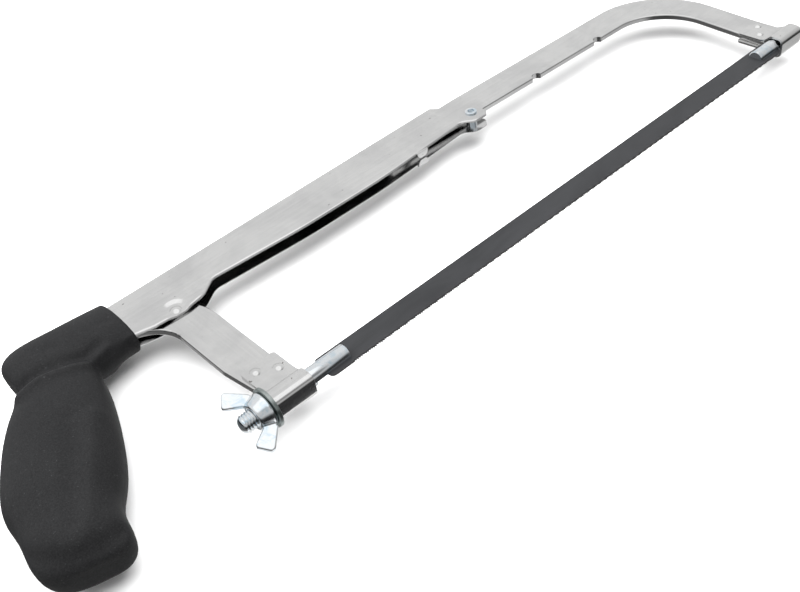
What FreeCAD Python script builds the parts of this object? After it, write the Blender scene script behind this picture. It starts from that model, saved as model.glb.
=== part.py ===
import FreeCAD, Part
import math
import os

from FreeCAD import Vector

# Adjustable hacksaw: a folded channel frame with a pistol grip, a flat-bar bow that hooks on a cross pin,
# and a blade drawn tight between two half-round studs by a wing nut. Millimetres.
# It is laid out in the saw's own plane: +X from the handle to the nose, +Y from the blade to the spine and
# +Z out of one flank, with the blade's rear pin at 0, 0. At the end everything is moved so that the origin
# lies under the middle of the saw, on the surface that it lies on.

# blade
blade_pitch = 300.0  # between the pin holes
blade_width = 12.5
blade_thickness = 0.65
blade_overhang = 6.5  # past each hole
blade_hole_r = 2.0
blade_corner = 2.2
blade_gap = 0.05  # under the studs' flats

# studs, blade pins and their thread
stud_r = 4.0
stud_nose = 5.6  # rear stud, ahead of its pin
stud_flat_back = 12.0  # length of the rear stud's flat behind its pin
stud_past_nut = 6.2  # thread that shows behind the wing nut
thread_length = 20.0
thread_pitch = 1.25
thread_depth = 0.62
tip_dome = 1.6
front_stud_nose = 9.0  # front stud, behind its pin
front_head_lip = 1.0  # the front stud's head is this much larger all round
front_head = 1.4
pin_r = 1.5
pin_seat = 2.5  # depth of a blade pin in its stud
pin_play = 0.03  # round the rear pin in its stud, which turns a little as the blade slackens
pin_reach = 2.8  # length of a blade pin below the flat

# sheet, bar and clearances
sheet = 1.1  # frame channel
clip_sheet = 1.2  # stud brackets
bar = 3.2  # bow and arm
bar_play = 1.1  # between a bar and each flank of the channel
slip = 0.3  # between bow and frame, pin and notch
run_fit = 0.05  # wing nut on the stud, radially
stud_slack = 0.3  # round a stud in its bracket
face_gap = 0.1  # between stacked parts on the stud
round_over = 0.7  # edges of the flat bars

# cross pin, whose height over the blade is the saw's throat
cross_x = 160.0
cross_y = 80.0
cross_barrel_r = 2.8
cross_neck_r = 2.1
cross_head_r = 3.1
cross_head = 0.8
cross_dimple_r = 1.7
cross_dimple = 1.3

# bow
bow_depth = 19.0
bow_tilt = -1.1  # degrees, nose down
bow_over_pin = 0.5  # underside above the pin's middle
bow_tail = 56.0  # length behind the cross pin
notch_count = 3
notch_pitch = 50.0
leg_width = 17.2
leg_lean = 3.4  # degrees, towards the handle
leg_ahead = 24.2  # the leg's lower end stands this far ahead of the blade's front hole
leg_gap = 0.7  # between a bar's lower end and the room for the stud
bend_outer = 42.0
bend_inner = 30.5

# frame channel
channel_bend = 1.4
web_short = 10.0  # the web stops this far behind the cross pin
web_over_bow = 1.0  # web's top above the full depth of the bow, whose tail is trimmed to bed against it
spine_rise = 1.0  # degrees, towards the nose
tang_back = -86.0
tang_step = 1.0  # the tang sits this much below the spine, inside the handle
tang_under = 8.0  # lower edge of the tang below the cross pin
tab_behind = 40.0  # tabs, behind the cross pin
tab_r = 3.6
tab_gap = 0.5  # between the two tabs, each side of the middle

# arm
arm_front = -15.5
arm_width = 18.5
arm_over_pin = 14.0  # top of the arm above the cross pin
arm_bend = 36.0  # outer radius
arm_tail = -84.0
arm_taper = 28.0  # the lower end narrows below this height, to clear the washer
arm_heel = 1.1  # its lower end stands this far ahead of the sleeve's back
arm_rivet_in = 11.0  # behind the arm's front edge
arm_rivet_under = 7.4  # below the cross pin
arm_rivet_r = 1.8
arm_rivet_head_r = 2.6
dish_r = 6.6  # the flanks are pressed in round this rivet until they grip the arm
dish_floor_r = 3.4
tang_rivet_x = -65.0
anchor_xs = (-54.0, -77.0)  # holes that the handle's plastic flows through
anchor_r = 3.2
tang_middle = 4.0  # tang rivet and anchor holes, above the cross pin

# stud brackets
plate_top = 20.4
plate_width = 16.9
plate_over = 1.2  # the plates stand past the bar's inner edge
plate_lift = 2.2  # that overhang ends this far above the joggle, clear of the blade's end
sleeve_length = 18.2
sleeve_round = 3.2
sleeve_shift = {"rear": -1.0, "front": 1.5}  # sleeve's back end from the plates' back edge
rivet_places = {"rear": [(4.8, 16.4), (12.5, 11.6)], "front": [(12.1, 16.0), (5.2, 10.4)]}  # from that edge
clip_rivet_r = 1.6
clip_rivet_head_r = 2.4
rivet_head = 1.0

# washer and wing nut
washer_play = 0.4
washer_rim = 4.2
washer_thickness = 1.6
hub_base_wall = 3.6
hub_end_wall = 1.9
hub_length = 6.4
wing_thickness = 2.4
wing_root = 1.0  # where a wing starts inside the hub, beyond the stud
wing_outer = 16.4
wing_sweep = 9.0  # the wing tips stand this far behind the hub's base
wing_end = (4.6, 6.4)  # from a tip's front corner back and in to its rear corner
wing_turn = 17.0  # degrees about the stud at rest

# handle
mouth_x = -46.5
barrel_sections = [  # behind the mouth, middle above the tang's, wall over the tang's edges and over its flanks
    (0.0, 1.2, 4.2, 3.5),
    (11.5, 1.0, 4.4, 5.0),
    (27.5, 0.8, 4.6, 6.8),
    (39.5, 1.4, 4.4, 7.0),
    (46.0, 1.2, 3.4, 5.2),
    (49.4, 1.0, -0.4, 1.2),
]
grip_sections = [  # behind the mouth, below the tang's middle, half depth, half thickness, turn in degrees
    (33.5, 0.0, 13.5, 8.5, -16.0),
    (38.4, 17.0, 17.2, 11.4, -20.0),
    (47.5, 34.2, 21.2, 13.0, -21.0),
    (56.3, 52.0, 22.4, 13.5, -21.0),
    (63.3, 67.2, 20.8, 13.4, -21.0),
    (67.3, 80.0, 17.6, 13.0, -20.0),
    (69.0, 90.0, 17.0, 12.7, -18.0),
    (69.2, 96.4, 14.4, 10.2, -16.0),
    (68.4, 100.2, 8.6, 5.6, -16.0),
]
section_power = 2.5  # 2 is an ellipse, more is boxier
section_points = 24

# what follows from these sizes
channel_half = bar / 2 + bar_play + sheet
spine_end = cross_x - web_short
spine_height = cross_y + bow_over_pin + bow_depth + web_over_bow
tang_low = cross_y - tang_under
arm_crown = cross_y + arm_over_pin
arm_rivet_at = (arm_front - arm_rivet_in, cross_y - arm_rivet_under)
tang_rivet_at = (tang_rivet_x, cross_y + tang_middle)
stud_room = stud_r + stud_slack
bar_end = stud_room + leg_gap
leg_outer_x = blade_pitch + leg_ahead
plate_back = {"rear": arm_front + plate_over - plate_width, "front": leg_outer_x - leg_width - plate_over}
sleeve_back = {end: plate_back[end] + sleeve_shift[end] for end in plate_back}
rivets_at = {end: [(plate_back[end] + x, y) for x, y in rivet_places[end]] for end in plate_back}
washer_front = sleeve_back["rear"] - face_gap
hub_front = washer_front - washer_thickness - face_gap
stud_tip = hub_front - hub_length - stud_past_nut


def spine_y(x):
    return spine_height + (x - spine_end) * math.tan(math.radians(spine_rise))


def bow_low_y(x):
    return cross_y + bow_over_pin + (x - cross_x) * math.tan(math.radians(bow_tilt))


def outline(corners, z):
    """Closed wire in a plane of constant z. Each corner is x, y and its radius."""
    edges = []
    count = len(corners)
    starts = []
    for i in range(count):
        before = Vector(corners[i - 1][0], corners[i - 1][1], z)
        here = Vector(corners[i][0], corners[i][1], z)
        after = Vector(corners[(i + 1) % count][0], corners[(i + 1) % count][1], z)
        radius = corners[i][2]
        into = (here - before).normalize()
        out = (after - here).normalize()
        turn = into.getAngle(out)
        if radius <= 0 or turn < 1e-6:
            starts.append((here, None, here))
            continue
        reach = radius * math.tan(turn / 2)
        first = here - into * reach
        last = here + out * reach
        inward = (out - into).normalize()
        centre = here + inward * (radius / math.cos(turn / 2))
        starts.append((first, centre - inward * radius, last))
    for i in range(count):
        first, middle, last = starts[i]
        if middle is not None:
            edges.append(Part.Arc(first, middle, last).toShape())
        following = starts[(i + 1) % count][0]
        if last.distanceToPoint(following) > 1e-6:
            edges.append(Part.LineSegment(last, following).toShape())
    return Part.Wire(edges)


def slab(corners, z_low, z_high):
    return Part.Face(outline(corners, z_low)).extrude(Vector(0, 0, z_high - z_low))


def cylinder(radius, x, y, z_low, z_high):
    return Part.makeCylinder(radius, z_high - z_low, Vector(x, y, z_low), Vector(0, 0, 1))


def rod(radius, x_low, x_high):
    return Part.makeCylinder(radius, x_high - x_low, Vector(x_low, 0, 0), Vector(1, 0, 0))


def dome(radius, height, x, y, z, up):
    """Cap of a sphere that stands on a plane of constant z, towards +Z or -Z."""
    ball_r = (radius * radius + height * height) / (2 * height)
    ball = Part.makeSphere(ball_r, Vector(x, y, z + up * (height - ball_r)))
    keep = cylinder(radius + 1, x, y, z, z + height) if up > 0 else cylinder(radius + 1, x, y, z - height, z)
    return ball.common(keep)


def rivet(at, half_grip, shank_r, head_r):
    x, y = at
    body = cylinder(shank_r, x, y, -half_grip, half_grip)
    for up in (1, -1):
        body = body.fuse(dome(head_r, rivet_head, x, y, up * half_grip, up))
    return body.removeSplitter()


def flat_bar(corners):
    """Flat bar with rounded edges along its two faces."""
    body = slab(corners, -bar / 2, bar / 2)
    rims = []
    for edge in body.Edges:
        box = edge.BoundBox
        flat = box.ZLength < 1e-6
        if flat and abs(abs(box.ZMin) - bar / 2) < 1e-6:
            rims.append(edge)
    return body.makeFillet(round_over, rims)


def ring_profile(points):
    """Solid of revolution about the X axis from x, radius pairs."""
    corners = [Vector(x, 0, r) for x, r in points]
    corners.append(corners[0])
    return Part.Face(Part.makePolygon(corners)).revolve(Vector(0, 0, 0), Vector(1, 0, 0), 360)


def dish(body, outer):
    """Press the flanks in round the arm's rivet: cut a cone from outside and add its shell inside."""
    x, y = arm_rivet_at
    for up in (1, -1):
        base = Vector(x, y, up * channel_half)
        inside = Vector(x, y, up * (channel_half - sheet))
        axis = Vector(0, 0, -up)
        shell = Part.makeCone(dish_r, dish_floor_r, bar_play, inside, axis)
        low, high = sorted((0, up * channel_half))
        body = body.fuse(shell.common(slab(outer, low, high)))
        body = body.cut(Part.makeCone(dish_r, dish_floor_r, bar_play, base, axis))
    return body


def rear_frame():
    mouth = mouth_x - face_gap
    outer = [
        (tang_back, spine_y(tang_back) - tang_step, 3.0),
        (mouth - 0.8, spine_y(mouth - 0.8) - tang_step, 0.4),
        (mouth, spine_y(mouth), 0.4),
        (spine_end, spine_height, 1.0),
        (cross_x + 7.8, cross_y - 2.8, 3.2),
        (cross_x + 3.6, cross_y - 7.6, 3.0),
        (cross_x - 4.4, cross_y - 7.8, 6.0),
        (cross_x - 9.5, cross_y - 2.7, 6.0),
        (cross_x - 32.0, cross_y - 4.4, 150.0),
        (cross_x - 68.0, cross_y - 7.0, 300.0),
        (arm_front + 60.5, cross_y - 6.9, 300.0),
        (arm_front + 11.0, cross_y - 3.6, 8.0),
        (arm_front + 2.0, cross_y - 9.8, 8.0),
        (arm_front - 6.5, cross_y - 11.4, 10.0),
        (mouth + 8.6, cross_y - 10.7, 8.0),
        (mouth, tang_low - 0.4, 3.0),
        (tang_back, tang_low, 3.0),
    ]
    body = slab(outer, -channel_half, channel_half)
    bends = []
    for edge in body.Edges:
        box = edge.BoundBox
        along_top = box.XLength > 100 and box.YMin > spine_y(mouth) - 0.5
        if along_top and abs(abs(box.ZMin) - channel_half) < 1e-6 and box.ZLength < 1e-6:
            bends.append(edge)
    body = body.makeFillet(channel_bend, bends)
    inner_half = channel_half - sheet
    inner = [
        (tang_back - 10, spine_y(tang_back) - tang_step - sheet, 0),
        (mouth, spine_y(mouth) - tang_step - sheet, 0),
        (mouth + 1.0, spine_y(mouth + 1.0) - sheet, 0),
        (spine_end - 0.01, spine_height - sheet, 0),
        (spine_end - 0.01, spine_height + 5, 0),
        (cross_x + 20, spine_height + 5, 0),
        (cross_x + 20, 50, 0),
        (tang_back - 10, 50, 0),
    ]
    body = body.cut(slab(inner, -inner_half, inner_half))
    # half-round tabs, turned in under the tail of the bow
    tab_x = cross_x - tab_behind
    low = cross_y - 6.0
    for side in (1, -1):
        tab = Part.makeCylinder(tab_r, sheet, Vector(tab_x, low, side * channel_half), Vector(0, 1, 0))
        near, far = sorted((side * tab_gap, side * (channel_half - 0.01)))
        room = Part.makeBox(4 * tab_r, 4, far - near, Vector(tab_x - 2 * tab_r, low - 1, near))
        body = body.fuse(tab.common(room))
    body = dish(body, outer)
    body = body.cut(cylinder(cross_neck_r, cross_x, cross_y, -10, 10))
    body = body.cut(cylinder(arm_rivet_r, arm_rivet_at[0], arm_rivet_at[1], -10, 10))
    body = body.cut(cylinder(arm_rivet_r, tang_rivet_at[0], tang_rivet_at[1], -10, 10))
    for x in anchor_xs:
        body = body.cut(cylinder(anchor_r, x, tang_rivet_at[1], -10, 10))
    return body.removeSplitter()


def rear_arm():
    back = arm_front - arm_width
    low = arm_crown - arm_width
    corners = [
        (arm_tail, arm_crown, 2.0),
        (arm_front, arm_crown, arm_bend),
        (arm_front, bar_end, 0.8),
        (sleeve_back["rear"] + arm_heel, bar_end, 0.8),
        (back, arm_taper, 12.0),
        (back, low, arm_bend - arm_width),
        (arm_tail, low, 2.0),
    ]
    body = flat_bar(corners)
    body = body.cut(cylinder(arm_rivet_r, arm_rivet_at[0], arm_rivet_at[1], -10, 10))
    body = body.cut(cylinder(arm_rivet_r, tang_rivet_at[0], tang_rivet_at[1], -10, 10))
    for x in anchor_xs:
        body = body.cut(cylinder(anchor_r, x, tang_rivet_at[1], -10, 10))
    for x, y in rivets_at["rear"]:
        body = body.cut(cylinder(clip_rivet_r, x, y, -10, 10))
    return body


def bow():
    lean = math.tan(math.radians(leg_lean))
    outer_corner_y = bow_low_y(leg_outer_x) + bow_depth
    outer_corner_x = leg_outer_x + (outer_corner_y - bar_end) * lean
    inner_x = leg_outer_x - leg_width / math.cos(math.radians(leg_lean))
    inner_corner_y = bow_low_y(inner_x)
    inner_corner_x = inner_x + (inner_corner_y - bar_end) * lean
    # the tail's back edge runs parallel to the web that it beds against
    bed = spine_height - sheet - slip
    rise = math.tan(math.radians(spine_rise))
    fall = math.tan(math.radians(bow_tilt))
    bed_start = (bow_low_y(0) + bow_depth - bed + spine_end * rise) / (rise - fall)
    tail_x = cross_x - bow_tail
    tail_top = bed + (tail_x - spine_end) * rise
    corners = [
        (tail_x, tail_top, 3.0),
        (bed_start, bed + (bed_start - spine_end) * rise, 0),
        (outer_corner_x, bow_low_y(outer_corner_x) + bow_depth, bend_outer),
        (leg_outer_x, bar_end, 0.8),
        (inner_x, bar_end, 0.8),
        (inner_corner_x, inner_corner_y, bend_inner),
        (tail_x, bow_low_y(tail_x), 3.0),
    ]
    body = flat_bar(corners)
    notch_r = cross_barrel_r + slip
    tilt = math.radians(bow_tilt)
    for i in range(notch_count):
        x = cross_x + i * notch_pitch * math.cos(tilt)
        y = cross_y + i * notch_pitch * math.sin(tilt)
        body = body.cut(cylinder(notch_r, x, y, -10, 10))
    for x, y in rivets_at["front"]:
        body = body.cut(cylinder(clip_rivet_r, x, y, -10, 10))
    return body


def bracket(end):
    """Sheet clip: two plates over the end of a bar, opened out below into a sleeve for the stud."""
    plate = bar / 2
    hollow = stud_room
    skin = clip_sheet
    joggle_low = hollow - 2.5
    joggle_high = hollow + 0.5
    outer = [
        (plate_top + 5, plate + skin, 0),
        (joggle_high, plate + skin, 1.0),
        (joggle_low, hollow + skin, 1.0),
        (-hollow - skin, hollow + skin, sleeve_round),
        (-hollow - skin, -hollow - skin, sleeve_round),
        (joggle_low, -hollow - skin, 1.0),
        (joggle_high, -plate - skin, 1.0),
        (plate_top + 5, -plate - skin, 0),
    ]
    inner = [
        (plate_top + 6, plate, 0),
        (joggle_high, plate, 0),
        (joggle_low, hollow, 0),
        (-hollow, hollow, sleeve_round - skin),
        (-hollow, -hollow, sleeve_round - skin),
        (joggle_low, -hollow, 0),
        (joggle_high, -plate, 0),
        (plate_top + 6, -plate, 0),
    ]
    length = sleeve_length + 10
    folded = slab(outer, 0, length).cut(slab(inner, -1, length + 1))
    # the fold is drawn in y and z and runs along x
    turned = FreeCAD.Matrix(0, 0, 1, 0, 1, 0, 0, 0, 0, 1, 0, 0, 0, 0, 0, 1)
    folded = folded.transformGeometry(turned)
    start = min(plate_back[end], sleeve_back[end]) - 2
    folded.translate(Vector(start, 0, 0))
    plate_low = plate_back[end]
    plate_high = plate_low + plate_width
    sleeve_low = sleeve_back[end]
    sleeve_high = sleeve_low + sleeve_length
    step = joggle_high + plate_lift
    side = [
        (plate_low, plate_top, 1.6),
        (plate_high, plate_top, 1.6),
        (plate_high, step, 0.3),
        (sleeve_high, step - 2.0, 0.3),
        (sleeve_high, -20, 0),
        (sleeve_low, -20, 0),
        (sleeve_low, step - 2.0, 0.3),
        (plate_low, step, 0.3),
    ]
    body = folded.common(slab(side, -20, 20))
    for x, y in rivets_at[end]:
        body = body.cut(cylinder(clip_rivet_r, x, y, -10, 10))
    return body.removeSplitter()


def clip_rivets(end):
    grip = bar / 2 + clip_sheet
    return [rivet(at, grip, clip_rivet_r, clip_rivet_head_r) for at in rivets_at[end]]


def cross_pin():
    inner_half = channel_half - sheet
    body = cylinder(cross_barrel_r, cross_x, cross_y, -inner_half, inner_half)
    body = body.fuse(cylinder(cross_neck_r, cross_x, cross_y, -channel_half, channel_half))
    for up in (1, -1):
        z = up * channel_half
        head = cylinder(cross_head_r, cross_x, cross_y, min(z, z + up * cross_head), max(z, z + up * cross_head))
        rim = [e for e in head.Edges if abs(e.BoundBox.ZMin - z - up * cross_head) < 1e-6 and e.Closed]
        head = head.makeFillet(0.35, rim)
        body = body.fuse(head)
    for up in (1, -1):
        top = up * (channel_half + cross_head)
        floor = top - up * cross_dimple
        body = body.cut(cylinder(cross_dimple_r, cross_x, cross_y, min(top, floor), max(top, floor)))
    return body.removeSplitter()


def half_round(body, x_low, x_high):
    """Take away the half of a stud below z = 0 over a stretch of x."""
    return body.cut(Part.makeBox(x_high - x_low, 30, 20, Vector(x_low, -15, -20)))


def rear_stud():
    root = stud_tip + thread_length
    points = [(stud_tip, 0), (stud_tip, stud_r * 0.45), (stud_tip + tip_dome, stud_r - thread_depth)]
    turns = int((thread_length - tip_dome) / thread_pitch)
    for i in range(turns):
        x = stud_tip + tip_dome + i * thread_pitch
        points.append((x + 0.45 * thread_pitch, stud_r))
        points.append((x + 0.60 * thread_pitch, stud_r))
        points.append((x + thread_pitch, stud_r - thread_depth))
    points += [(root + 0.3, stud_r), (stud_nose - 0.5, stud_r), (stud_nose, stud_r - 0.5), (stud_nose, 0)]
    body = ring_profile(points)
    body = half_round(body, -stud_flat_back, stud_nose + 1)
    return body.cut(cylinder(pin_r + pin_play, 0, 0, -1, pin_seat + face_gap))


def front_stud():
    nose = blade_pitch - front_stud_nose
    seat = sleeve_back["front"] + sleeve_length
    points = [
        (nose, 0),
        (nose, stud_r - 0.5),
        (nose + 0.5, stud_r),
        (seat, stud_r),
        (seat, stud_r + front_head_lip),
        (seat + front_head - 0.5, stud_r + front_head_lip),
        (seat + front_head, stud_r + front_head_lip - 0.6),
        (seat + front_head, 0),
    ]
    body = half_round(ring_profile(points), nose - 1, sleeve_back["front"] + 1.5)
    return body.cut(cylinder(pin_r, blade_pitch, 0, -1, pin_seat))


def blade_pin(x):
    body = cylinder(pin_r, x, 0, -pin_reach, pin_seat)
    foot = [e for e in body.Edges if e.Closed and abs(e.BoundBox.ZMax + pin_reach) < 1e-6]
    return body.makeChamfer(0.4, foot)


def blade():
    half = blade_width / 2
    ends = (-blade_overhang, blade_pitch + blade_overhang)
    corners = [
        (ends[0], half, blade_corner),
        (ends[1], half, blade_corner),
        (ends[1], -half, blade_corner),
        (ends[0], -half, blade_corner),
    ]
    body = slab(corners, -blade_gap - blade_thickness, -blade_gap)
    for x in (0, blade_pitch):
        body = body.cut(cylinder(blade_hole_r, x, 0, -5, 5))
    return body


def washer():
    back = washer_front - washer_thickness
    bore_r = stud_r + washer_play
    washer_r = bore_r + washer_rim
    body = rod(washer_r, back, washer_front).cut(rod(bore_r, back - 1, washer_front + 1))
    rim = [e for e in body.Edges if e.Closed and abs(e.BoundBox.YMax - washer_r) < 1e-3]
    return body.makeFillet(0.3, rim)


def wing_nut():
    back = hub_front - hub_length
    hub_base_r = stud_r + hub_base_wall
    hub_end_r = stud_r + hub_end_wall
    wing_inner = stud_r + wing_root
    points = [
        (hub_front, 0),
        (hub_front, hub_base_r - 0.5),
        (hub_front - 0.5, hub_base_r),
        (hub_front - 1.4, hub_base_r),
        (back + 0.5, hub_end_r),
        (back, hub_end_r - 0.6),
        (back, 0),
    ]
    body = ring_profile(points)
    tip = hub_front - wing_sweep
    for side in (1, -1):
        corners = [
            (hub_front - 1.6, side * wing_inner, 0),
            (hub_front - 1.0, side * (hub_base_r + 0.9), 2.0),
            (tip, side * wing_outer, 1.6),
            (tip - wing_end[0], side * (wing_outer - wing_end[1]), 1.6),
            (back - 0.3, side * (hub_end_r + 0.2), 2.0),
            (back + 1.6, side * wing_inner, 0),
        ]
        wing = slab(corners, -wing_thickness / 2, wing_thickness / 2)
        rims = []
        for edge in wing.Edges:
            box = edge.BoundBox
            reach = max(abs(box.YMin), abs(box.YMax))
            if box.ZLength < 1e-6 and reach > hub_base_r and edge.Length > 2:
                rims.append(edge)
        wing = wing.makeFillet(0.6, rims)
        wing.rotate(Vector(0, 0, 0), Vector(1, 0, 0), wing_turn)
        body = body.fuse(wing)
    bore = stud_r + run_fit
    return body.cut(rod(bore, back - 1, hub_front + 1)).removeSplitter()


def section(place, half_a, half_b, along):
    """Closed smooth section about a point, from a direction in the saw's plane and its thickness."""
    points = []
    for i in range(section_points):
        angle = 2 * math.pi * (i + 0.5) / section_points
        c = math.cos(angle)
        s = math.sin(angle)
        a = math.copysign(abs(c) ** (2 / section_power), c) * half_a
        b = math.copysign(abs(s) ** (2 / section_power), s) * half_b
        points.append(place + along * a + Vector(0, 0, b))
    curve = Part.BSplineCurve()
    curve.interpolate(points, PeriodicFlag=True)
    return Part.Wire([curve.toShape()])


def handle(tang):
    tang_top = spine_y(mouth_x) - tang_step
    tang_mid = (tang_top + tang_low) / 2
    tang_half = (tang_top - tang_low) / 2
    barrel = []
    for back, raised, edge_wall, flank_wall in barrel_sections:
        place = Vector(mouth_x - back, tang_mid + raised, 0)
        barrel.append(section(place, tang_half + edge_wall, channel_half + flank_wall, Vector(0, 1, 0)))
    grip = []
    for back, below, half_depth, half_thickness, turn in grip_sections:
        along = Vector(math.cos(math.radians(turn)), math.sin(math.radians(turn)), 0)
        place = Vector(mouth_x - back, tang_mid - below, 0)
        grip.append(section(place, half_depth, half_thickness, along))
    body = Part.makeLoft(barrel, True, False).fuse(Part.makeLoft(grip, True, False))
    for piece in tang:
        body = body.cut(piece)
    solids = sorted(body.Solids, key=lambda s: s.Volume)
    return solids[-1]


def build():
    frame = rear_frame()
    arm = rear_arm()
    nodes = {
        "rear_frame": frame,
        "rear_arm": arm,
        "arm_rivet": rivet(arm_rivet_at, bar / 2 + sheet, arm_rivet_r, arm_rivet_head_r),
        "tang_rivet": rivet(tang_rivet_at, channel_half, arm_rivet_r, arm_rivet_head_r),
        "cross_pin": cross_pin(),
        "bow": bow(),
        "front_stud": front_stud(),
        "front_blade_pin": blade_pin(blade_pitch),
        "rear_stud": rear_stud(),
        "rear_blade_pin": blade_pin(0),
        "blade": blade(),
        "washer": washer(),
        "wing_nut": wing_nut(),
    }
    for end in ("rear", "front"):
        nodes[end + "_bracket"] = bracket(end)
        lower, upper = clip_rivets(end)[::-1]
        nodes[end + "_rivet_lower"] = lower
        nodes[end + "_rivet_upper"] = upper
    nodes["handle"] = handle([frame, arm, nodes["tang_rivet"]])
    return nodes


nodes = build()
whole = Part.Compound(list(nodes.values())).optimalBoundingBox(True, False)
shift = Vector(-whole.Center.x, -whole.Center.y, -whole.ZMin)
os.makedirs("parts", exist_ok=True)
for name, shape in nodes.items():
    shape.translate(shift)
    shape.exportStep("parts/" + name + ".step")
    print(name, len(shape.Solids), round(shape.Volume, 1), shape.isValid())
print("moved by", round(shift.x, 3), round(shift.y, 3), round(shift.z, 3))
print("size", round(whole.XLength, 2), round(whole.YLength, 2), round(whole.ZLength, 2))
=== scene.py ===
import math

import bmesh
import bpy
from mathutils import Matrix, Quaternion, Vector


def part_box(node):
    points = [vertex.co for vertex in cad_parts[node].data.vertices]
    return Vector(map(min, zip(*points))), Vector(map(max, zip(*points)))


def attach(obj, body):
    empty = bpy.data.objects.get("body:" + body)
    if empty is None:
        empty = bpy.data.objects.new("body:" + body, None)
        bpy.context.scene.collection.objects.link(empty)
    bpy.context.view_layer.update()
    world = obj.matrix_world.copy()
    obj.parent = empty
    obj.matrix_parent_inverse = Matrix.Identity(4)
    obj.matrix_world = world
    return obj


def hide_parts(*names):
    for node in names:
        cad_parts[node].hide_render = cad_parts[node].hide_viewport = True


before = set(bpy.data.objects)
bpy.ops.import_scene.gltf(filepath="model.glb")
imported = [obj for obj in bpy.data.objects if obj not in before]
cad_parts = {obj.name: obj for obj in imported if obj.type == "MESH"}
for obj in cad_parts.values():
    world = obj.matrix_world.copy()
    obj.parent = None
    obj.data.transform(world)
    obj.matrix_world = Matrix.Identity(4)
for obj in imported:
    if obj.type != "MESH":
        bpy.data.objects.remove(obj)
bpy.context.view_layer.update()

print("frame:", len(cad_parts), "nodes")

mm = 0.001
mergeWithin = 0.002 * mm  # corners of a CAD node that are one point
weldWithin = 0.01 * mm  # the same for rows that are repeated here
pinLow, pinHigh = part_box("rear_blade_pin")
flankLow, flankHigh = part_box("rear_frame")
sawOrigin = Vector((
    (pinLow.x + pinHigh.x) / 2,
    (pinLow.y + pinHigh.y) / 2,
    (flankLow.z + flankHigh.z) / 2,
))


# saw millimetres count from the rear pin towards the nose, the spine and the near flank
def place(x, y, z=0.0):
    return sawOrigin + Vector((x, y, z)) * mm


def inSaw(point):  # the same, back again
    return (point - sawOrigin) / mm


def smoothStep(value, low, high):
    share = min(max((value - low) / (high - low), 0.0), 1.0)
    return share * share * (3 - 2 * share)


def partCopy(nodeName):  # a merged copy of a CAD node
    bm = bmesh.new()
    bm.from_mesh(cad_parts[nodeName].data)
    bmesh.ops.remove_doubles(bm, verts=bm.verts, dist=mergeWithin)
    return bm


def addBox(bm, low, high):
    middle = Matrix.Translation((low + high) / 2)
    bmesh.ops.create_cube(bm, size=1.0, matrix=middle @ Matrix.Diagonal((*(high - low), 1.0)))


def vertsIn(made):
    return [item for item in made if isinstance(item, bmesh.types.BMVert)]


def turnOut(bm):
    bmesh.ops.recalc_face_normals(bm, faces=bm.faces)


def toMesh(bm, name):
    mesh = bpy.data.meshes.new(name)
    bm.to_mesh(mesh)
    bm.free()
    return mesh


def baked(mesh, addModifiers):  # the mesh with modifiers applied
    obj = bpy.data.objects.new("bench", mesh)
    bpy.context.scene.collection.objects.link(obj)
    addModifiers(obj)
    depsgraph = bpy.context.evaluated_depsgraph_get()
    result = bpy.data.meshes.new_from_object(obj.evaluated_get(depsgraph))
    bpy.data.objects.remove(obj)
    return result


def voxelled(bm, name, voxel, passes):  # one closed skin, softened
    def addRemesh(obj):
        remesh = obj.modifiers.new("skin", "REMESH")
        remesh.mode = "VOXEL"
        remesh.voxel_size = voxel * mm
        remesh.adaptivity = 0.0
    mesh = baked(toMesh(bm, name), addRemesh)
    bm = bmesh.new()
    bm.from_mesh(mesh)
    for _ in range(passes):
        bmesh.ops.smooth_vert(
            bm, verts=bm.verts, factor=0.5,
            use_axis_x=True, use_axis_y=True, use_axis_z=True,
        )
    return bm


def addPiece(name, mesh, finish, body, slotName, *nodes):
    obj = bpy.data.objects.new(name, mesh)
    bpy.context.scene.collection.objects.link(obj)
    mesh.materials.clear()
    mesh.materials.append(finish)
    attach(obj, body)
    if nodes:
        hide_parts(*nodes)
    return obj


def shadeSoft(mesh, degrees):
    mesh.shade_smooth()
    mesh.set_sharp_from_angle(angle=math.radians(degrees))


def newFinish(name, metallic):
    finish = bpy.data.materials.new(name)
    finish.use_nodes = True
    tree = finish.node_tree
    shader = tree.nodes["Principled BSDF"]
    shader.inputs["Metallic"].default_value = metallic
    return finish, tree, shader


# noise that stays put on the part
def grain(tree, scale, stretch=(1.0, 1.0, 1.0), detail=4.0, rough=0.5, warp=0.0):
    coords = tree.nodes.new("ShaderNodeTexCoord")
    mapping = tree.nodes.new("ShaderNodeMapping")
    mapping.inputs["Scale"].default_value = stretch
    texture = tree.nodes.new("ShaderNodeTexNoise")
    texture.inputs["Scale"].default_value = scale
    texture.inputs["Detail"].default_value = detail
    texture.inputs["Roughness"].default_value = rough
    texture.inputs["Distortion"].default_value = warp
    tree.links.new(coords.outputs["Object"], mapping.inputs["Vector"])
    tree.links.new(mapping.outputs["Vector"], texture.inputs["Vector"])
    return texture.outputs["Fac"]


def ramp(tree, value, stops):  # stops: pairs of place and colour
    stops = list(stops)
    node = tree.nodes.new("ShaderNodeValToRGB")
    while len(node.color_ramp.elements) < len(stops):
        node.color_ramp.elements.new(0.5)
    for element, (position, colour) in zip(node.color_ramp.elements, stops):
        element.position = position
        element.color = (*colour, 1.0)
    tree.links.new(value, node.inputs["Fac"])
    return node.outputs["Color"]


def spread(tree, value, low, high, start=0.35, end=0.65):  # low at start, high at end
    node = tree.nodes.new("ShaderNodeMapRange")
    node.inputs["From Min"].default_value = start
    node.inputs["From Max"].default_value = end
    node.inputs["To Min"].default_value = low
    node.inputs["To Max"].default_value = high
    tree.links.new(value, node.inputs["Value"])
    return node.outputs["Result"]


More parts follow.
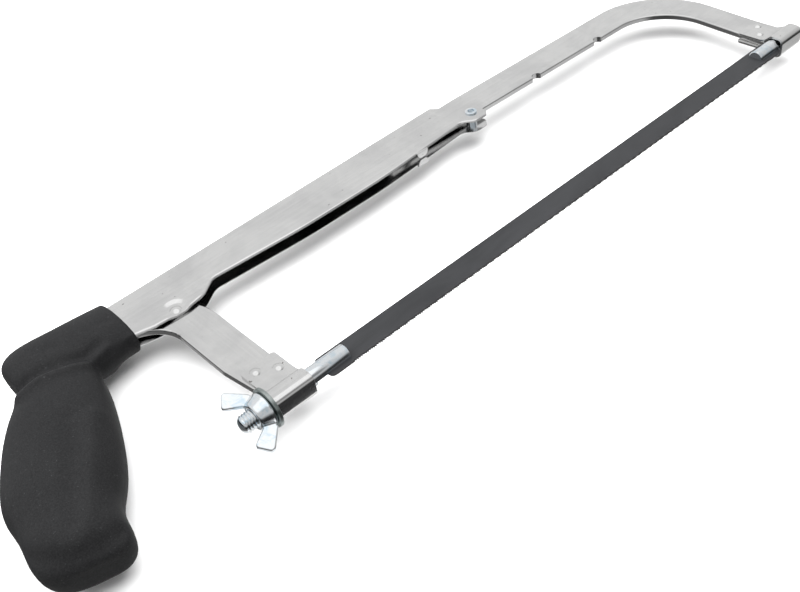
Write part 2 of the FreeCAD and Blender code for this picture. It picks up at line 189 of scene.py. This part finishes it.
def blendColours(tree, mode, share, first, second):
    node = tree.nodes.new("ShaderNodeMix")
    node.data_type = "RGBA"
    node.blend_type = mode
    if isinstance(share, float):
        node.inputs["Factor"].default_value = share
    else:
        tree.links.new(share, node.inputs["Factor"])
    tree.links.new(first, node.inputs["A"])
    if isinstance(second, tuple):
        node.inputs["B"].default_value = (*second, 1.0)
    else:
        tree.links.new(second, node.inputs["B"])
    return node.outputs["Result"]


def bump(tree, height, distance, strength, under=None):
    node = tree.nodes.new("ShaderNodeBump")
    node.inputs["Distance"].default_value = distance * mm
    node.inputs["Strength"].default_value = strength
    tree.links.new(height, node.inputs["Height"])
    if under is not None:
        tree.links.new(under, node.inputs["Normal"])
    return node.outputs["Normal"]


white = (1.0, 1.0, 1.0)
plating = {
    "bright": (0.79, 0.79, 0.785),
    "grey": (0.70, 0.70, 0.70),
    "cloudScale": 45.0,
    "cloudSpan": (0.36, 0.62),  # noise values at which grey ends and bright begins
    "rough": (0.12, 0.22),
    "lineScale": 900.0,
    "lineStretch": 0.03,
    "lineSpan": (0.30, 0.62),
    "lineTone": (0.86, 0.86, 0.86),
    "lineShare": 0.35,
    "lineBump": (0.008, 0.25),  # every bump: depth in mm, strength
    "speckScale": 520.0,
    "speckSpan": (0.735, 0.77),
    "speck": (0.30, 0.29, 0.28),
    "waveScale": 70.0,
    "waveBump": (0.12, 0.25),
}


# rolled sheet under bright plating: lines along the strip, soft clouds, a few specks
def platedSteel(name, along):
    finish, tree, shader = newFinish(name, 1.0)
    stretch = tuple(plating["lineStretch"] if axis == along else 1.0 for axis in "xyz")
    lines = grain(tree, plating["lineScale"], stretch, detail=5.0, rough=0.6)
    clouds = grain(tree, plating["cloudScale"], detail=5.0, rough=0.6, warp=0.4)
    specks = grain(tree, plating["speckScale"], detail=2.0, rough=0.4)
    waves = grain(tree, plating["waveScale"], detail=2.0, rough=0.4)
    colour = ramp(tree, clouds, zip(plating["cloudSpan"], (plating["grey"], plating["bright"])))
    streak = ramp(tree, lines, zip(plating["lineSpan"], (plating["lineTone"], white)))
    colour = blendColours(tree, "MULTIPLY", plating["lineShare"], colour, streak)
    speckMask = spread(tree, specks, 0.0, 1.0, *plating["speckSpan"])
    colour = blendColours(tree, "MIX", speckMask, colour, plating["speck"])
    tree.links.new(colour, shader.inputs["Base Color"])
    tree.links.new(spread(tree, clouds, *plating["rough"]), shader.inputs["Roughness"])
    normal = bump(tree, lines, *plating["lineBump"])
    tree.links.new(bump(tree, waves, *plating["waveBump"], normal), shader.inputs["Normal"])
    return finish


zinc = {
    "tones": ((0.33, (0.66, 0.77, 0.85)), (0.50, (0.84, 0.88, 0.91)), (0.72, (0.88, 0.90, 0.91))),
    "rough": (0.07, 0.19),
    "cloudScale": 210.0,
    "cloudBump": (0.04, 0.2),
    "fineScale": 1400.0,
    "fineBump": (0.006, 0.25),
}


def zincPlate():  # clear bluish plating on turned and cast parts
    finish, tree, shader = newFinish("zinc_plate", 1.0)
    clouds = grain(tree, zinc["cloudScale"], rough=0.6, warp=0.6)
    fine = grain(tree, zinc["fineScale"], (0.25, 1.0, 1.0), detail=3.0)
    tree.links.new(ramp(tree, clouds, zinc["tones"]), shader.inputs["Base Color"])
    tree.links.new(spread(tree, clouds, *zinc["rough"]), shader.inputs["Roughness"])
    normal = bump(tree, clouds, *zinc["cloudBump"])
    tree.links.new(bump(tree, fine, *zinc["fineBump"], normal), shader.inputs["Normal"])
    return finish


dullPlating = {
    "tones": ((0.34, (0.25, 0.29, 0.28)), (0.66, (0.46, 0.50, 0.49))),
    "rough": (0.28, 0.42),
    "scale": 260.0,
    "bump": (0.03, 0.4),
}


def washerSteel():  # duller, faintly green plating
    finish, tree, shader = newFinish("washer_steel", 1.0)
    clouds = grain(tree, dullPlating["scale"], rough=0.6)
    tree.links.new(ramp(tree, clouds, dullPlating["tones"]), shader.inputs["Base Color"])
    tree.links.new(spread(tree, clouds, *dullPlating["rough"]), shader.inputs["Roughness"])
    tree.links.new(bump(tree, clouds, *dullPlating["bump"]), shader.inputs["Normal"])
    return finish


paint = {
    "tones": ((0.35, (0.019, 0.0195, 0.021)), (0.68, (0.027, 0.0277, 0.0297))),
    "rough": (0.40, 0.52),
    "shine": 0.20,
    "markScale": 60.0,
    "lineScale": 700.0,
    "lineBump": (0.012, 0.5),
    "fineScale": 2600.0,
    "fineBump": (0.008, 0.4),
}


def bladePaint():  # thin satin paint over a rolled strip
    finish, tree, shader = newFinish("blade_paint", 0.0)
    lines = grain(tree, paint["lineScale"], (0.04, 1.0, 1.0), rough=0.6)
    fine = grain(tree, paint["fineScale"], detail=2.0)
    marks = grain(tree, paint["markScale"], (0.4, 1.0, 1.0), detail=5.0, rough=0.65, warp=0.8)
    tree.links.new(ramp(tree, marks, paint["tones"]), shader.inputs["Base Color"])
    tree.links.new(spread(tree, marks, *paint["rough"]), shader.inputs["Roughness"])
    shader.inputs["Specular IOR Level"].default_value = paint["shine"]
    normal = bump(tree, lines, *paint["lineBump"])
    tree.links.new(bump(tree, fine, *paint["fineBump"], normal), shader.inputs["Normal"])
    return finish


plastic = {
    "tones": ((0.35, (0.0070, 0.0071, 0.0076)), (0.68, (0.0145, 0.0147, 0.0154))),
    "rough": (0.56, 0.68),
    "shine": 0.18,
    "sparkScale": 1900.0,
    "sparkBump": (0.05, 0.55),
    "patchScale": 38.0,
    "patchBump": (0.25, 0.25),
    "dustScale": 1150.0,
    "dustSpan": (0.70, 0.80),
    "dustShare": 0.55,
    "dust": (0.040, 0.041, 0.043),
}


def handlePlastic():  # charcoal moulding with a fine sparked surface
    finish, tree, shader = newFinish("handle_plastic", 0.0)
    spark = grain(tree, plastic["sparkScale"], detail=3.0, rough=0.6)
    patches = grain(tree, plastic["patchScale"], rough=0.55)
    dust = grain(tree, plastic["dustScale"], detail=1.0, rough=0.4)
    dustMask = spread(tree, dust, 0.0, plastic["dustShare"], *plastic["dustSpan"])
    colour = ramp(tree, spark, plastic["tones"])
    colour = blendColours(tree, "MIX", dustMask, colour, plastic["dust"])
    tree.links.new(colour, shader.inputs["Base Color"])
    tree.links.new(spread(tree, patches, *plastic["rough"]), shader.inputs["Roughness"])
    shader.inputs["Specular IOR Level"].default_value = plastic["shine"]
    normal = bump(tree, spark, *plastic["sparkBump"])
    tree.links.new(bump(tree, patches, *plastic["patchBump"], normal), shader.inputs["Normal"])
    return finish


steelAlongX = platedSteel("plated_steel", "x")
steelAlongY = platedSteel("plated_steel_upright", "y")
zincFinish = zincPlate()
washerFinish = washerSteel()
paintFinish = bladePaint()
plasticFinish = handlePlastic()
print("finishes made")

moulding = {
    "voxel": 0.8,
    "passes": 6,
    "plugLow": (-87.0, 71.0, -5.2),  # a block that fills the hidden hollow for the tang
    "plugHigh": (-46.56, 97.4, 5.2),
    # lines that stand proud or are pressed in: rise and half width in mm, then the line
    "lines": (
        (1.8, 2.6, ((-98, 69.5), (-89, 70), (-80, 67), (-73, 66), (-66, 67.5), (-60, 70))),
        (-1.3, 2.6, ((-101, 78), (-92, 76.5), (-78, 73.5), (-68, 72), (-61, 74))),
        (0.95, 3.4, ((-83, 38), (-91, 24), (-99, 12), (-106, 1), (-111, -7))),
        (-0.90, 4.0, ((-90, 42), (-98, 25), (-106, 10), (-113, -2))),
        (-1.30, 3.2, ((-133, 3), (-128, -5), (-121, -12), (-112, -15), (-102, -14))),
        (0.35, 5.0, ((-98, 48), (-108, 30), (-117, 12))),
        (-0.45, 2.2, ((-52, 83.4), (-54, 84.2))),
        (-0.40, 2.4, ((-76, 84.0), (-79, 84.6))),
    ),
    "lineFrom": 4.0,  # distance from the parting plane where the lines begin
    "lineFull": 8.0,
    "parting": (0.12, 0.35),  # height and half width of the joint line
}


def distanceToLine(x, y, points):
    spot = Vector((x, y))
    nearest = 1000.0
    for first, second in zip(points, points[1:]):
        first = Vector(first)
        run = Vector(second) - first
        share = min(max((spot - first).dot(run) / run.length_squared, 0.0), 1.0)
        nearest = min(nearest, (spot - first - run * share).length)
    return nearest


def modelHandle(bm, low, high):
    bm.normal_update()
    partingRise, partingWidth = moulding["parting"]
    shifts = []
    for v in bm.verts:
        spot = inSaw(v.co)
        fade = smoothStep(abs(spot.z), moulding["lineFrom"], moulding["lineFull"])
        height = 0.0
        if fade > 0:
            for rise, width, points in moulding["lines"]:
                away = distanceToLine(spot.x, spot.y, points)
                height += rise * math.exp(-(away / width) ** 2) * fade
        height += partingRise * math.exp(-(spot.z / partingWidth) ** 2)
        shifts.append(v.co + v.normal * height * mm)
    for v, shifted in zip(bm.verts, shifts):
        for axis in range(3):
            shifted[axis] = min(max(shifted[axis], low[axis]), high[axis])
        v.co = shifted


def makeHandle():
    bm = partCopy("handle")
    addBox(bm, place(*moulding["plugLow"]), place(*moulding["plugHigh"]))
    bm = voxelled(bm, "handle_moulding", moulding["voxel"], moulding["passes"])
    turnOut(bm)
    modelHandle(bm, *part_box("handle"))
    mesh = toMesh(bm, "handle_moulding")
    mesh.shade_smooth()
    addPiece("handle_moulding", mesh, plasticFinish, "frame", "handle_plastic", "handle")


makeHandle()
print("handle moulded")

eased = {
    # part: body, slot, finish, edge break in mm, least corner in degrees
    "rear_frame": ("frame", "plated_steel", steelAlongX, 0.16, 35),
    "rear_bracket": ("frame", "plated_steel", steelAlongX, 0.14, 35),
    "front_bracket": ("bow", "plated_steel", steelAlongX, 0.14, 35),
    "bow": ("bow", "plated_steel", steelAlongX, 0.10, 35),
    "rear_arm": ("frame", "plated_steel", steelAlongY, 0.10, 35),
}
flatWithin = math.radians(0.2)  # faces closer than this to one plane become one face


def makeEased(node, body, slotName, finish, width, corner):
    bm = partCopy(node)
    bmesh.ops.dissolve_limit(
        bm, angle_limit=flatWithin, use_dissolve_boundaries=False,
        verts=bm.verts, edges=bm.edges,
    )
    mesh = toMesh(bm, node + "_eased")
    shadeSoft(mesh, corner)
    obj = addPiece(node + "_eased", mesh, finish, body, slotName, node)
    bevel = obj.modifiers.new("edge break", "BEVEL")
    bevel.width = width * mm
    bevel.segments = 2
    bevel.limit_method = "ANGLE"
    bevel.angle_limit = math.radians(corner)
    bevel.use_clamp_overlap = False
    flats = obj.modifiers.new("flat faces", "WEIGHTED_NORMAL")
    flats.keep_sharp = False


for part, choices in eased.items():
    makeEased(part, *choices)

keptNodes = {
    "arm_rivet": steelAlongX,
    "tang_rivet": steelAlongX,
    "rear_rivet_lower": steelAlongX,
    "rear_rivet_upper": steelAlongX,
    "front_rivet_lower": steelAlongX,
    "front_rivet_upper": steelAlongX,
    "cross_pin": zincFinish,
    "front_stud": zincFinish,
    "front_blade_pin": zincFinish,
    "rear_blade_pin": zincFinish,
    "washer": washerFinish,
}
for part, finish in keptNodes.items():
    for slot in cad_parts[part].material_slots:
        slot.material = finish
print("steel parts finished")

teeth = {
    "pitch": 25.4 / 24,
    "depth": 0.72,
    "bandTop": 1.7,  # height of the band that the teeth are set in
    "endTabs": 11.0,  # plain length at each end
    "setTeeth": 4,  # teeth in one wave of the set
    "set": 0.20,
    "setFade": 8.0,  # length over which the set dies away at each end
    "corner": 25,  # degrees; sharper edges stay sharp
}


def makeBlade():
    low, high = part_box("blade")
    back = inSaw(low)
    front = inSaw(high)
    count = int((front.x - back.x - 2 * teeth["endTabs"]) / teeth["pitch"])
    first = (front.x + back.x - count * teeth["pitch"]) / 2
    last = first + count * teeth["pitch"]
    bandTop = back.y + teeth["bandTop"]
    # the strip without its toothed band
    cutter = bmesh.new()
    addBox(cutter, place(first, back.y - 1, back.z - 1), place(last, bandTop, front.z + 1))
    tool = bpy.data.objects.new("cutter", toMesh(cutter, "cutter"))
    bpy.context.scene.collection.objects.link(tool)

    def addCut(obj):
        cut = obj.modifiers.new("cut", "BOOLEAN")
        cut.operation = "DIFFERENCE"
        cut.solver = "EXACT"
        cut.object = tool
    strip = baked(toMesh(partCopy("blade"), "strip"), addCut)
    bpy.data.objects.remove(tool)
    # one tooth's edge, repeated and drawn up to the band's top, then given its thickness
    bm = bmesh.new()
    gullet = back.y + teeth["depth"]
    profile = [(0.0, gullet), (0.14, gullet - 0.02), (0.86, back.y), (0.93, back.y), (1.0, gullet)]
    verts = [bm.verts.new(place(first + x * teeth["pitch"], y, back.z)) for x, y in profile]
    edges = [bm.edges.new(pair) for pair in zip(verts, verts[1:])]
    bmesh.ops.spin(
        bm, geom=verts + edges, cent=place(0, 0), axis=(0, 0, 1), angle=0.0,
        dvec=(teeth["pitch"] * mm, 0, 0), steps=count - 1, use_duplicate=True,
    )
    bmesh.ops.remove_doubles(bm, verts=bm.verts, dist=weldWithin)
    edges = bm.edges[:]
    for height in ((gullet + bandTop) / 2, bandTop):
        made = bmesh.ops.extrude_edge_only(bm, edges=edges)["geom"]
        for v in vertsIn(made):
            v.co.y = place(0, height).y
        edges = [e for e in made if isinstance(e, bmesh.types.BMEdge)]
    for v in vertsIn(bmesh.ops.extrude_face_region(bm, geom=bm.faces[:])["geom"]):
        v.co.z = high.z
    turnOut(bm)
    wave = 2 * math.pi / (teeth["setTeeth"] * teeth["pitch"])
    for v in bm.verts:
        spot = inSaw(v.co)
        lean = smoothStep(bandTop - spot.y, 0.0, teeth["bandTop"])
        fade = smoothStep(spot.x, first, first + teeth["setFade"])
        fade *= smoothStep(last - spot.x, 0, teeth["setFade"])
        v.co.z += math.sin(spot.x * wave) * teeth["set"] * lean * fade * mm
    bm.from_mesh(strip)
    mesh = toMesh(bm, "blade_toothed")
    shadeSoft(mesh, teeth["corner"])
    addPiece("blade_toothed", mesh, paintFinish, "blade", "blade_paint", "blade")


makeBlade()
print("blade toothed")

thread = {
    "pitch": 1.25,
    "depth": 0.62,
    "turns": 12,
    "steps": 36,
    "dome": 1.7,  # length of the rounded tip
    "domeWidth": 0.86,  # of the stud's radius
    "firstTurn": 0.75,  # of the dome's length, from the tip
    "crestDrop": 0.05,  # from the crest's middle to its sides
    "runOut": 2,  # turns over which the first thread grows
    "runOutSlope": 0.9,
    "corner": 32,  # degrees, as for the teeth
}


def makeStud():
    low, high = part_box("rear_stud")
    tip = inSaw(low).x
    radius = (high.z - low.z) / 2 / mm
    start = tip + thread["dome"] * thread["firstTurn"]
    end = start + thread["pitch"] * (thread["turns"] - 1)
    bm = partCopy("rear_stud")
    bmesh.ops.bisect_plane(
        bm, geom=bm.verts[:] + bm.edges[:] + bm.faces[:],
        plane_co=place(end, 0), plane_no=(1, 0, 0), clear_inner=True,
    )
    bmesh.ops.holes_fill(bm, edges=[e for e in bm.edges if e.is_boundary], sides=0)
    root = radius - thread["depth"]
    side = radius - thread["crestDrop"]
    profile = [
        (0.0, root), (0.08, root), (0.44, side), (0.50, radius), (0.56, side), (0.92, root), (1.0, root),
    ]
    verts = [bm.verts.new(place(start + x * thread["pitch"], y)) for x, y in profile]
    edges = [bm.edges.new(pair) for pair in zip(verts, verts[1:])]
    bmesh.ops.spin(
        bm, geom=verts + edges, cent=place(0, 0), axis=(1, 0, 0),
        angle=2 * math.pi * thread["turns"], steps=thread["turns"] * thread["steps"],
        dvec=(thread["pitch"] / thread["steps"] * mm, 0, 0),
    )
    bmesh.ops.remove_doubles(bm, verts=bm.verts, dist=weldWithin)
    bmesh.ops.holes_fill(bm, edges=[e for e in bm.edges if e.is_boundary], sides=0)
    # the first turn runs out into the tip
    for v in bm.verts:
        spot = inSaw(v.co)
        reach = math.hypot(spot.y, spot.z)
        grown = max(spot.x - start - 0.1 * thread["pitch"], 0.0) * thread["runOutSlope"]
        limit = root + 0.05 + grown
        if spot.x < start + thread["runOut"] * thread["pitch"] and reach > limit:
            v.co = place(spot.x, spot.y * limit / reach, spot.z * limit / reach)
    domeRadius = radius * thread["domeWidth"]
    dome = Matrix.Translation(place(tip + thread["dome"], 0)) @ Matrix.Rotation(math.pi / 2, 4, "Y")
    dome = dome @ Matrix.Diagonal((domeRadius, domeRadius, thread["dome"], 1.0))
    bmesh.ops.create_uvsphere(bm, u_segments=40, v_segments=20, radius=mm, matrix=dome)
    turnOut(bm)
    mesh = toMesh(bm, "stud_threaded")
    shadeSoft(mesh, thread["corner"])
    addPiece("stud_threaded", mesh, zincFinish, "tension_stud", "zinc_plate", "rear_stud")


makeStud()
print("stud threaded")

casting = {
    "voxel": 0.22,
    "passes": 5,
    "bore": 4.07,
    "margin": 1.0,  # beyond the nut's ends
}


def makeWingNut():
    low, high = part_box("wing_nut")
    boreBack = inSaw(low).x - casting["margin"]
    boreFront = inSaw(high).x + casting["margin"]
    bm = voxelled(partCopy("wing_nut"), "wing_nut_cast", casting["voxel"], casting["passes"])
    for v in bm.verts:  # the softened bore is opened back to its size
        spot = inSaw(v.co)
        reach = math.hypot(spot.y, spot.z)
        if reach < casting["bore"] and boreBack < spot.x < boreFront:
            growth = casting["bore"] / reach
            v.co = place(spot.x, spot.y * growth, spot.z * growth)
    turnOut(bm)
    mesh = toMesh(bm, "wing_nut_cast")
    mesh.shade_smooth()
    addPiece("wing_nut_cast", mesh, zincFinish, "wing_nut", "zinc_plate", "wing_nut")


makeWingNut()
print("wing nut cast")

studio = {
    "floor": 6.0,  # radius in metres
    "wall": 5.0,
    "wallHeight": 3.0,
    "wallFoot": -0.01,
    "segments": 64,
    "paper": (0.90, 0.90, 0.90),
    "fibre": 0.01,  # how much darker the fibres are
    "fibreScale": 300.0,
    "paperRough": 0.9,
    "cardLow": (-32.0, -44.0, -13.0),  # a dark card that the nut's end of the saw mirrors
    "cardHigh": (30.0, -13.5, -13.0),
    "ceiling": (0.05, 0.25, 1.2, 2.4, 46.0),  # a lamp: x, y, height and size in metres, watts
    "side": (-0.7, 0.9, 0.6, 0.7, 14.0),
}


def paperFinish():
    finish, tree, shader = newFinish("paper", 0.0)
    fibre = grain(tree, studio["fibreScale"], detail=3.0)
    tone = tuple(value - studio["fibre"] for value in studio["paper"])
    colour = ramp(tree, fibre, [(0.3, tone), (0.7, studio["paper"])])
    tree.links.new(colour, shader.inputs["Base Color"])
    shader.inputs["Roughness"].default_value = studio["paperRough"]
    shader.inputs["Specular IOR Level"].default_value = 0.0
    return finish


def addStageObject(name, bm, finish):
    obj = bpy.data.objects.new(name, toMesh(bm, name))
    bpy.context.scene.collection.objects.link(obj)
    obj.data.materials.append(finish)
    return obj


def makeStage():
    paper = paperFinish()
    segments = studio["segments"]
    bm = bmesh.new()
    bmesh.ops.create_circle(bm, cap_ends=True, segments=segments, radius=studio["floor"])
    floor = addStageObject("floor", bm, paper)
    floor.visible_glossy = False

    bm = bmesh.new()
    rim = bmesh.ops.create_circle(bm, segments=segments, radius=studio["wall"])["verts"]
    made = bmesh.ops.extrude_edge_only(bm, edges=bm.edges[:])["geom"]
    bmesh.ops.translate(bm, vec=(0, 0, studio["wallHeight"]), verts=vertsIn(made))
    bmesh.ops.translate(bm, vec=(0, 0, studio["wallFoot"]), verts=rim)
    wall = addStageObject("wall", bm, paper)
    wall.visible_glossy = False
    wall.visible_diffuse = False
    wall.visible_shadow = False

    low = place(*studio["cardLow"])
    high = place(*studio["cardHigh"])
    middle = Matrix.Translation((low + high) / 2)
    size = Matrix.Diagonal((*(high - low).xy, 1.0, 1.0))
    bm = bmesh.new()
    bmesh.ops.create_grid(bm, x_segments=1, y_segments=1, size=0.5, matrix=middle @ size)
    card = addStageObject("card", bm, plasticFinish)
    card.visible_camera = False
    card.visible_diffuse = False
    card.visible_shadow = False


def makeLight(name, x, y, height, size, watts):
    data = bpy.data.lights.new(name, "AREA")
    data.shape = "DISK"
    data.size = size
    data.energy = watts
    lamp = bpy.data.objects.new(name, data)
    bpy.context.scene.collection.objects.link(lamp)
    lamp.location = (x, y, height)
    lamp.rotation_mode = "QUATERNION"
    lamp.rotation_quaternion = (-lamp.location).to_track_quat("-Z", "Y")
    lamp.visible_glossy = False


sky = {
    "behind": 0.80,
    "front": 0.55,  # above the blade's side
    "level": 0.04,  # level with the saw, on the blade's side
    "low": 1.1,  # below the blade's side
    "overhead": 1.15,
    "paper": 0.85,
    "gap": ((0.46, -0.66, 0.60), 0.45),  # a darker patch: direction, share of light left
    "leftShade": 0.85,  # light taken away towards the lower left
    # where along the direction's x, y or z each change starts and ends
    "frontSpan": (0.02, 0.28),
    "lowSpan": (-0.35, -0.60),
    "behindSpan": (-0.50, 0.15),
    "leftSpan": (-0.12, -0.35),
    "leftDrop": (0.0, -0.3),
    "overheadSpan": (0.66, 0.86),
    "paperSpan": (-0.72, -0.84),
    "gapSpan": (0.955, 0.99),
}


def makeSky():  # bright above and behind the spine, dark on the blade's side, white paper below
    world = bpy.data.worlds.new("studio")
    bpy.context.scene.world = world
    world.use_nodes = True
    tree = world.node_tree
    coords = tree.nodes.new("ShaderNodeTexCoord")
    split = tree.nodes.new("ShaderNodeSeparateXYZ")
    tree.links.new(coords.outputs["Generated"], split.inputs["Vector"])
    x, y, z = (split.outputs[axis] for axis in "XYZ")

    def combine(operation, first, second):
        node = tree.nodes.new("ShaderNodeMath")
        node.operation = operation
        for value, socket in zip((first, second), node.inputs):
            if isinstance(value, float):
                socket.default_value = value
            else:
                tree.links.new(value, socket)
        return node.outputs["Value"]

    def patch(direction, start, end):  # 1 near a direction, 0 away from it
        node = tree.nodes.new("ShaderNodeVectorMath")
        node.operation = "DOT_PRODUCT"
        tree.links.new(coords.outputs["Generated"], node.inputs[0])
        node.inputs[1].default_value = Vector(direction).normalized()
        return spread(tree, node.outputs["Value"], 0.0, 1.0, start, end)

    def opposite(value):  # 1 where the value is 0, and 0 where it is 1
        return combine("SUBTRACT", 1.0, value)

    dim = spread(tree, z, sky["level"], sky["front"], *sky["frontSpan"])
    dim = combine("MAXIMUM", dim, spread(tree, z, sky["level"], sky["low"], *sky["lowSpan"]))
    back = spread(tree, y, 0.0, 1.0, *sky["behindSpan"])
    rise = combine("MULTIPLY", combine("SUBTRACT", sky["behind"], dim), back)
    level = combine("ADD", dim, rise)
    left = spread(tree, x, 0.0, sky["leftShade"], *sky["leftSpan"])
    left = combine("MULTIPLY", left, spread(tree, z, 0.0, 1.0, *sky["leftDrop"]))
    level = combine("MULTIPLY", level, opposite(left))
    level = combine("MAXIMUM", level, spread(tree, z, 0.0, sky["overhead"], *sky["overheadSpan"]))
    level = combine("MAXIMUM", level, spread(tree, z, 0.0, sky["paper"], *sky["paperSpan"]))
    direction, lightLeft = sky["gap"]
    gap = combine("MULTIPLY", patch(direction, *sky["gapSpan"]), 1.0 - lightLeft)
    level = combine("MULTIPLY", level, opposite(gap))
    tree.links.new(level, tree.nodes["Background"].inputs["Strength"])
    tree.nodes["Background"].inputs["Color"].default_value = (*white, 1.0)


makeStage()
makeLight("ceiling", *studio["ceiling"])
makeLight("side", *studio["side"])
makeSky()
bpy.context.scene.view_settings.view_transform = "Standard"

viewpoint = {
    "lens": 45.38,
    "sensor": 36.0,
    "clip": (0.01, 30.0),
    "stand": (-149.8, -243.3, 273.5),
    "azimuth": 37.415,  # from +Y towards +X
    "elevation": 40.861,
    "roll": -8.604,
}


def makeCamera():
    data = bpy.data.cameras.new("camera")
    data.lens = viewpoint["lens"]
    data.sensor_width = viewpoint["sensor"]
    data.clip_start, data.clip_end = viewpoint["clip"]
    camera = bpy.data.objects.new("camera", data)
    bpy.context.scene.collection.objects.link(camera)
    around = math.radians(viewpoint["azimuth"])
    down = math.radians(viewpoint["elevation"])
    look = Vector((
        math.sin(around) * math.cos(down),
        math.cos(around) * math.cos(down),
        -math.sin(down),
    ))
    roll = Quaternion((0, 0, 1), math.radians(viewpoint["roll"]))
    camera.location = place(*viewpoint["stand"])
    camera.rotation_mode = "QUATERNION"
    camera.rotation_quaternion = look.to_track_quat("-Z", "Y") @ roll
    bpy.context.scene.camera = camera


makeCamera()
print("stage, lights and camera placed")
